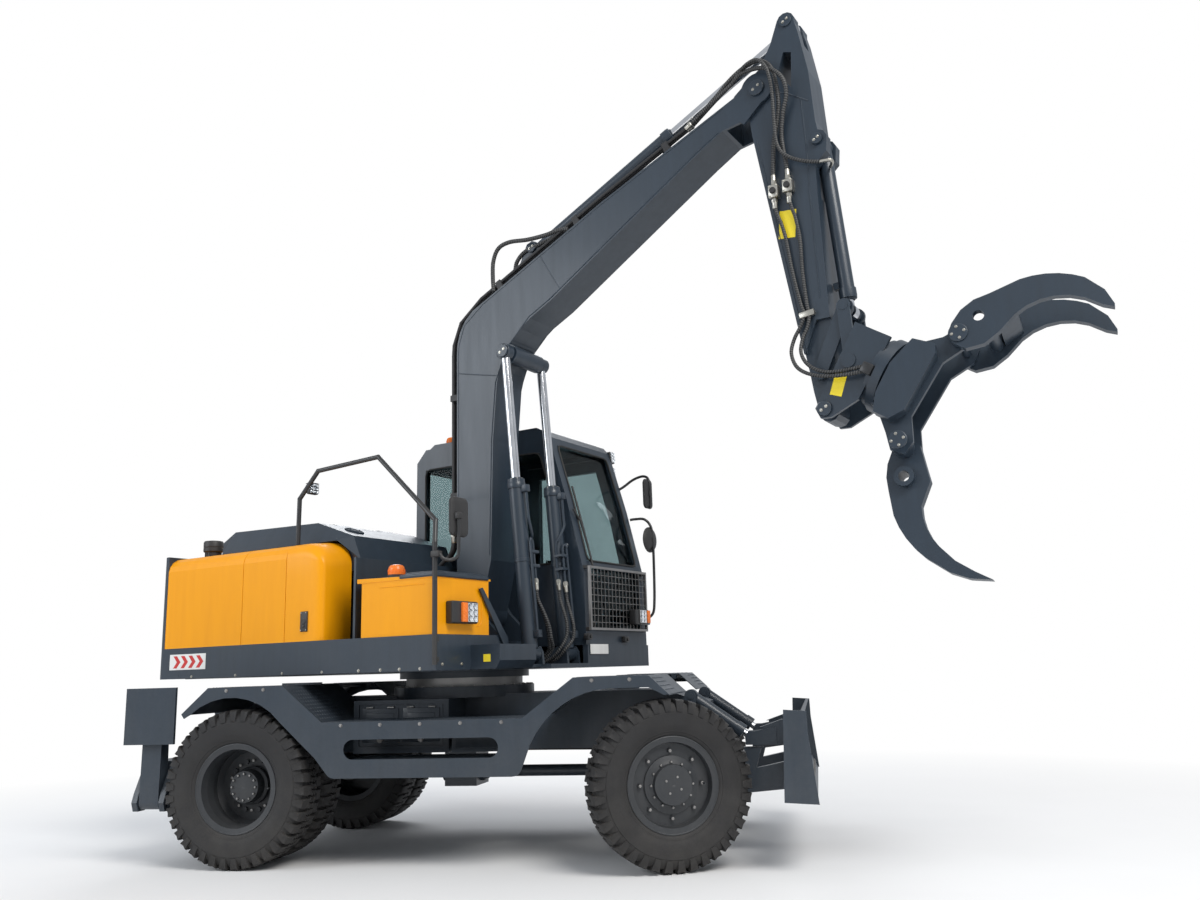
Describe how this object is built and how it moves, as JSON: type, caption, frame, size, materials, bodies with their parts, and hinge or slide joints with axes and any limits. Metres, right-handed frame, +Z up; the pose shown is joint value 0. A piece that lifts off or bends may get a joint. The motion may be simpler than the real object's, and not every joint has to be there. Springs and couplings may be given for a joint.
{
  "type": "wheeled excavator with log grapple",
  "caption": "Wheeled excavator with twin rear tyres, dozer blade, outriggers, side engine panels and a rotating log grapple on a one-piece boom",
  "frame": {"origin": "on the ground under the swing axis", "axes": "X forward to the blade, Y to the machine's left, Z up"},
  "size_m": [7.0307, 3.653, 5.7676],
  "materials": {
    "yellow_paint": "satin, dusty",
    "slate_paint": "satin, dusty and worn",
    "black_paint": "satin",
    "tyre_rubber": "matt, dusty",
    "window_glass": "clear, lightly tinted",
    "rod_chrome": "polished",
    "black_plastic": "matt",
    "bare_steel": "greasy"
  },
  "bodies": {
    "undercarriage": {"chassis": "slate_paint", "blade_carrier": "slate_paint", "steps": "slate_paint", "tool_boxes": "slate_paint", "slewing_ring": "bare_steel", "rear_axle": "slate_paint", "front_axle": "slate_paint", "drive_line": "slate_paint"},
    "wheel_rear_right": {"rims_rear_right": "slate_paint", "tyres_rear_right": "tyre_rubber"},
    "wheel_rear_left": {"rims_rear_left": "slate_paint", "tyres_rear_left": "tyre_rubber"},
    "wheel_front_right": {"rim_front_right": "slate_paint", "tyre_front_right": "tyre_rubber"},
    "wheel_front_left": {"rim_front_left": "slate_paint", "tyre_front_left": "tyre_rubber"},
    "knuckle_right": {"knuckle_right": "slate_paint"},
    "knuckle_left": {"knuckle_left": "slate_paint"},
    "tie_rod": {"tie_rod": "slate_paint"},
    "blade": {"blade": "slate_paint"},
    "blade_barrels": {"blade_barrels": "slate_paint"},
    "blade_rods": {"blade_rods": "rod_chrome"},
    "outrigger_right": {"outrigger_right": "slate_paint"},
    "outrigger_left": {"outrigger_left": "slate_paint"},
    "foot_right": {"foot_right": "slate_paint"},
    "foot_left": {"foot_left": "slate_paint"},
    "upper": {"deck": "slate_paint", "counterweight": "slate_paint", "engine": "black_paint", "side_panels": "yellow_paint", "tank": "yellow_paint", "handrail": "black_paint", "mirrors": "black_paint", "lamps": "black_paint", "air_intake": "black_plastic", "cab": "slate_paint", "cab_glass": "window_glass", "front_guard": "black_paint", "seat": "black_plastic"},
    "engine_door_right": {"engine_door_right": "yellow_paint"},
    "engine_door_left": {"engine_door_left": "yellow_paint"},
    "engine_hood": {"engine_hood": "slate_paint"},
    "cab_door": {"cab_door": "slate_paint", "door_glass": "window_glass"},
    "boom": {"boom": "slate_paint", "boom_pipes": "black_paint"},
    "boom_barrels": {"boom_barrels": "slate_paint"},
    "boom_rods": {"boom_rods": "rod_chrome"},
    "arm": {"arm": "slate_paint", "arm_valves": "black_paint"},
    "arm_barrel": {"arm_barrel": "slate_paint"},
    "arm_rod": {"arm_rod": "rod_chrome"},
    "tool_barrel": {"tool_barrel": "slate_paint"},
    "tool_rod": {"tool_rod": "rod_chrome"},
    "idler_links": {"idler_links": "slate_paint"},
    "tool_link": {"tool_link": "slate_paint"},
    "tool_bracket": {"tool_bracket": "slate_paint"},
    "grapple": {"grapple_body": "slate_paint"},
    "jaw_upper": {"jaw_upper": "slate_paint"},
    "jaw_lower": {"jaw_lower": "slate_paint"}
  },
  "joints": [
    {"name": "steer", "type": "hinge", "parent": "undercarriage", "child": "knuckle_right", "pos_m": [1.64, -0.905, 0.5275], "axis": [0, 0, 1], "range_deg": [-57, 7]},
    {"name": "steer_left", "type": "hinge", "parent": "undercarriage", "child": "knuckle_left", "pos_m": [1.64, 0.905, 0.5275], "axis": [0, 0, 1], "range_deg": [-57, 7]},
    {"name": "tie_rod_joint", "type": "hinge", "parent": "knuckle_right", "child": "tie_rod", "pos_m": [1.44968, -0.99375, 0.4315], "axis": [0, 0, 1], "range_deg": [-7, 57]},
    {"name": "spin_front_right", "type": "hinge", "parent": "knuckle_right", "child": "wheel_front_right", "pos_m": [1.72664, -1.09079, 0.5275], "axis": [-0.4226, 0.9063, 0], "continuous": true},
    {"name": "spin_rear_right", "type": "hinge", "parent": "undercarriage", "child": "wheel_rear_right", "pos_m": [-1.24, -0.922, 0.5275], "axis": [0, 1, 0], "continuous": true},
    {"name": "spin_front_left", "type": "hinge", "parent": "knuckle_left", "child": "wheel_front_left", "pos_m": [1.55336, 1.09079, 0.5275], "axis": [-0.4226, 0.9063, 0], "continuous": true},
    {"name": "spin_rear_left", "type": "hinge", "parent": "undercarriage", "child": "wheel_rear_left", "pos_m": [-1.24, 0.922, 0.5275], "axis": [0, 1, 0], "continuous": true},
    {"name": "blade_lift", "type": "hinge", "parent": "undercarriage", "child": "blade", "pos_m": [1.96, 0, 0.47], "axis": [0, 1, 0], "range_deg": [-2, 40]},
    {"name": "blade_cylinder", "type": "hinge", "parent": "undercarriage", "child": "blade_barrels", "pos_m": [1.825, 0, 1.05], "axis": [0, 1, 0], "range_deg": [-0.43, 8.69]},
    {"name": "blade_rod", "type": "slide", "parent": "blade_barrels", "child": "blade_rods", "axis": [0.8144, 0, -0.5803], "range_m": [-0.01289, 0.2574]},
    {"name": "outrigger_right_lower", "type": "hinge", "parent": "undercarriage", "child": "outrigger_right", "pos_m": [-1.955, -1.05, 0.43], "axis": [1, 0, 0], "range_deg": [0, 126]},
    {"name": "foot_right_tilt", "type": "hinge", "parent": "outrigger_right", "child": "foot_right", "pos_m": [-1.955, -1.05, 1.02], "axis": [1, 0, 0], "range_deg": [-36, 0]},
    {"name": "outrigger_left_lower", "type": "hinge", "parent": "undercarriage", "child": "outrigger_left", "pos_m": [-1.955, 1.05, 0.43], "axis": [-1, 0, 0], "range_deg": [0, 126]},
    {"name": "foot_left_tilt", "type": "hinge", "parent": "outrigger_left", "child": "foot_left", "pos_m": [-1.955, 1.05, 1.02], "axis": [-1, 0, 0], "range_deg": [-36, 0]},
    {"name": "swing", "type": "hinge", "parent": "undercarriage", "child": "upper", "pos_m": [0, 0, 1.219], "axis": [0, 0, 1], "continuous": true},
    {"name": "engine_door_right_hinge", "type": "hinge", "parent": "upper", "child": "engine_door_right", "pos_m": [-0.65124, -0.73669, 2.241], "axis": [-0.9397, 0.342, 0], "range_deg": [0, 75]},
    {"name": "engine_door_left_hinge", "type": "hinge", "parent": "upper", "child": "engine_door_left", "pos_m": [-0.73951, 1.24288, 2.241], "axis": [0.9397, -0.342, 0], "range_deg": [0, 75]},
    {"name": "engine_hood_hinge", "type": "hinge", "parent": "upper", "child": "engine_hood", "pos_m": [-1.8086, 0.26453, 2.255], "axis": [-0.342, -0.9397, 0], "range_deg": [0, 50]},
    {"name": "cab_door_hinge", "type": "hinge", "parent": "upper", "child": "cab_door", "pos_m": [0.24112, 1.21799, 2.285], "axis": [0, 0, 1], "range_deg": [0, 95]},
    {"name": "boom_lift", "type": "hinge", "parent": "upper", "child": "boom", "pos_m": [0.18493, -0.12052, 1.7], "axis": [0.342, 0.9397, 0], "range_deg": [-2, 78]},
    {"name": "boom_cylinder", "type": "hinge", "parent": "upper", "child": "boom_barrels", "pos_m": [0.76754, -0.33257, 1.378], "axis": [0.342, 0.9397, 0], "range_deg": [-2, 77.96]},
    {"name": "boom_rod", "type": "slide", "parent": "boom_barrels", "child": "boom_rods", "axis": [-0.0791, 0.0288, 0.9964], "range_m": [-0.90044, 0.02311]},
    {"name": "arm_swing", "type": "hinge", "parent": "boom", "child": "arm", "pos_m": [2.62531, -1.00875, 5.243], "axis": [-0.342, -0.9397, 0], "range_deg": [-20, 100]},
    {"name": "arm_cylinder", "type": "hinge", "parent": "boom", "child": "arm_barrel", "pos_m": [0.73465, -0.3206, 4.564], "axis": [-0.342, -0.9397, 0], "range_deg": [-1.11, 5.56]},
    {"name": "arm_rod_slide", "type": "slide", "parent": "arm_barrel", "child": "arm_rod", "axis": [0.8382, -0.3051, 0.4521], "range_m": [-0.73001, 0.14602]},
    {"name": "tool_tilt", "type": "hinge", "parent": "arm", "child": "tool_bracket", "pos_m": [2.93635, -1.12195, 2.845], "axis": [0.342, 0.9397, 0], "range_deg": [0, 100]},
    {"name": "idler", "type": "hinge", "parent": "arm", "child": "idler_links", "pos_m": [2.90722, -1.11135, 3.111], "axis": [0.342, 0.9397, 0], "range_deg": [0, 84.46]},
    {"name": "tool_link_joint", "type": "hinge", "parent": "idler_links", "child": "tool_link", "pos_m": [3.08952, -1.1777, 3.52], "axis": [0.342, 0.9397, 0], "range_deg": [-59.58, 0]},
    {"name": "tool_cylinder", "type": "hinge", "parent": "arm", "child": "tool_barrel", "pos_m": [2.99931, -1.14487, 4.74], "axis": [0.342, 0.9397, 0], "range_deg": [-8.5, 0]},
    {"name": "tool_rod_slide", "type": "slide", "parent": "tool_barrel", "child": "tool_rod", "axis": [0.0737, -0.0268, -0.9969], "range_m": [-0.00002, 0.53383]},
    {"name": "rotor", "type": "hinge", "parent": "tool_bracket", "child": "grapple", "pos_m": [3.2737, -1.24474, 3.044], "axis": [0.7881, -0.2868, -0.5446], "continuous": true},
    {"name": "jaw_close", "type": "hinge", "parent": "grapple", "child": "jaw_upper", "pos_m": [3.7479, -1.36224, 3.16777], "axis": [0.2675, 0.9565, -0.1167], "range_deg": [-4, 55]},
    {"name": "jaw_close_lower", "type": "hinge", "parent": "grapple", "child": "jaw_lower", "pos_m": [3.34043, -1.32531, 2.53669], "axis": [0.2675, 0.9565, -0.1167], "range_deg": [-55, 4]}
  ],
  "couplings": [
    {"joint": "steer_left", "follows": "steer", "ratio": 1},
    {"joint": "tie_rod_joint", "follows": "steer", "ratio": -1},
    {"joint": "blade_cylinder", "follows": "blade_lift", "ratio": 0.21718},
    {"joint": "blade_rod", "follows": "blade_lift", "m_per_rad": 0.36867},
    {"joint": "foot_right_tilt", "follows": "outrigger_right_lower", "ratio": -0.28571},
    {"joint": "foot_left_tilt", "follows": "outrigger_left_lower", "ratio": -0.28571},
    {"joint": "boom_cylinder", "follows": "boom_lift", "ratio": 0.99951},
    {"joint": "boom_rod", "follows": "boom_lift", "m_per_rad": -0.66142},
    {"joint": "arm_cylinder", "follows": "arm_swing", "ratio": 0.055639},
    {"joint": "arm_rod_slide", "follows": "arm_swing", "m_per_rad": -0.41826},
    {"joint": "idler", "follows": "tool_tilt", "ratio": 0.84461},
    {"joint": "tool_link_joint", "follows": "tool_tilt", "ratio": -0.59578},
    {"joint": "tool_cylinder", "follows": "tool_tilt", "ratio": -0.085039},
    {"joint": "tool_rod_slide", "follows": "tool_tilt", "m_per_rad": 0.30585},
    {"joint": "jaw_close_lower", "follows": "jaw_close", "ratio": -1}
  ]
}
